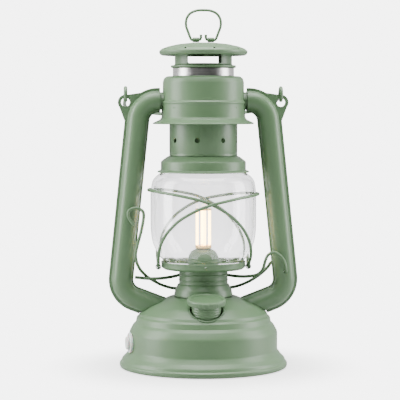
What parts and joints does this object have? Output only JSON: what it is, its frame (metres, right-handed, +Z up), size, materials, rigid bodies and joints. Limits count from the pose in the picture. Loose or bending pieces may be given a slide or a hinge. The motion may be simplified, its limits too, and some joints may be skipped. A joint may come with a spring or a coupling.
{
  "type": "camping lantern",
  "caption": "Hurricane-style camping lantern with rechargeable filament lamp, lifting globe, folding bail and dimmer knob shaped as a filler cap.",
  "frame": {"origin": "middle of the base plate's flat underside", "axes": "+Z up through the lantern, +X to the side with the lever's pivot, -Y to the front with the dimmer knob"},
  "size_m": [0.1514, 0.1894, 0.286],
  "materials": {
    "paint": "sage green powder coat, satin",
    "zinc": "galvanised sheet",
    "steel": "bright steel",
    "brass": "satin",
    "glass": "clear blown glass",
    "filament": "glowing phosphor rod",
    "black_plastic": "moulded",
    "silicone": "translucent white silicone",
    "circuit_board": "solder mask",
    "cell_wrap": "shrink film"
  },
  "bodies": {
    "root": {"tank_shell": "paint", "base_plate": "paint", "base_screw_1": "steel", "base_screw_2": "steel", "base_screw_3": "steel", "electronics_tray": "black_plastic", "battery_cell": "cell_wrap", "battery_contact_minus": "brass", "battery_contact_plus": "brass", "driver_board": "circuit_board", "charge_socket": "steel", "dimmer_pot": "black_plastic", "filler_well": "paint", "filler_neck": "paint", "burner_neck": "paint", "burner_cone": "paint", "filament_base": "brass", "filament_1": "filament", "filament_2": "filament", "filament_3": "filament", "filament_4": "filament", "filament_crown": "brass", "filament_cable": "black_plastic", "side_tube_left_front": "paint", "side_tube_left_back": "paint", "side_tube_right_front": "paint", "side_tube_right_back": "paint", "upper_ferrule_left": "paint", "upper_ferrule_right": "paint", "windshield": "paint", "hood_spring": "steel", "port_ring": "silicone"},
    "knob": {"dimmer_knob": "paint", "pot_shaft": "steel"},
    "plug": {"port_plug": "silicone"},
    "lever": {"lift_lever_wire": "paint", "lift_fork_wire": "paint"},
    "globe_carrier": {"globe_collar": "paint", "globe": "glass", "guard_wire_left": "paint", "guard_wire_right": "paint", "guard_clip_left": "paint", "guard_clip_right": "paint"},
    "hood": {"chimney_tube": "paint", "globe_cap": "paint", "inner_sleeve": "zinc", "crown": "paint", "hood_cap": "paint", "ring_lug_left": "paint", "ring_lug_right": "paint"},
    "ring": {"hood_ring": "paint"},
    "bail": {"bail": "paint"}
  },
  "joints": [
    {"name": "bail_swing", "type": "hinge", "parent": "root", "child": "bail", "pos_m": [0, 0, 0.2184], "axis": [1, 0, 0], "range_deg": [-54, 250]},
    {"name": "hood_ring_fold", "type": "hinge", "parent": "hood", "child": "ring", "pos_m": [0, 0, 0.2615], "axis": [1, 0, 0], "range_deg": [-85, 85]},
    {"name": "hood_lift", "type": "slide", "parent": "globe_carrier", "child": "hood", "axis": [0, 0, 1], "range_m": [0, 0.012], "stiffness_N_per_m": 150, "springref_m": -0.006, "deforming": ["hood_spring"]},
    {"name": "lift_lever", "type": "hinge", "parent": "root", "child": "lever", "pos_m": [0.0654, 0, 0.0772], "axis": [0, 1, 0], "range_deg": [0, 5.2]},
    {"name": "globe_lift", "type": "slide", "parent": "root", "child": "globe_carrier", "axis": [0, 0, 1], "range_m": [0, 0.006], "deforming": ["hood_spring"]},
    {"name": "knob_turn", "type": "hinge", "parent": "root", "child": "knob", "pos_m": [0, -0.0382, 0.045], "axis": [0, -0.1736, 0.9848], "range_deg": [-150, 150]},
    {"name": "plug_pull", "type": "slide", "parent": "root", "child": "plug", "axis": [-0.9816, -0.1908, 0], "range_m": [0, 0.009]}
  ],
  "couplings": [
    {"joint": "globe_lift", "follows": "lift_lever", "m_per_rad": 0.0654}
  ]
}
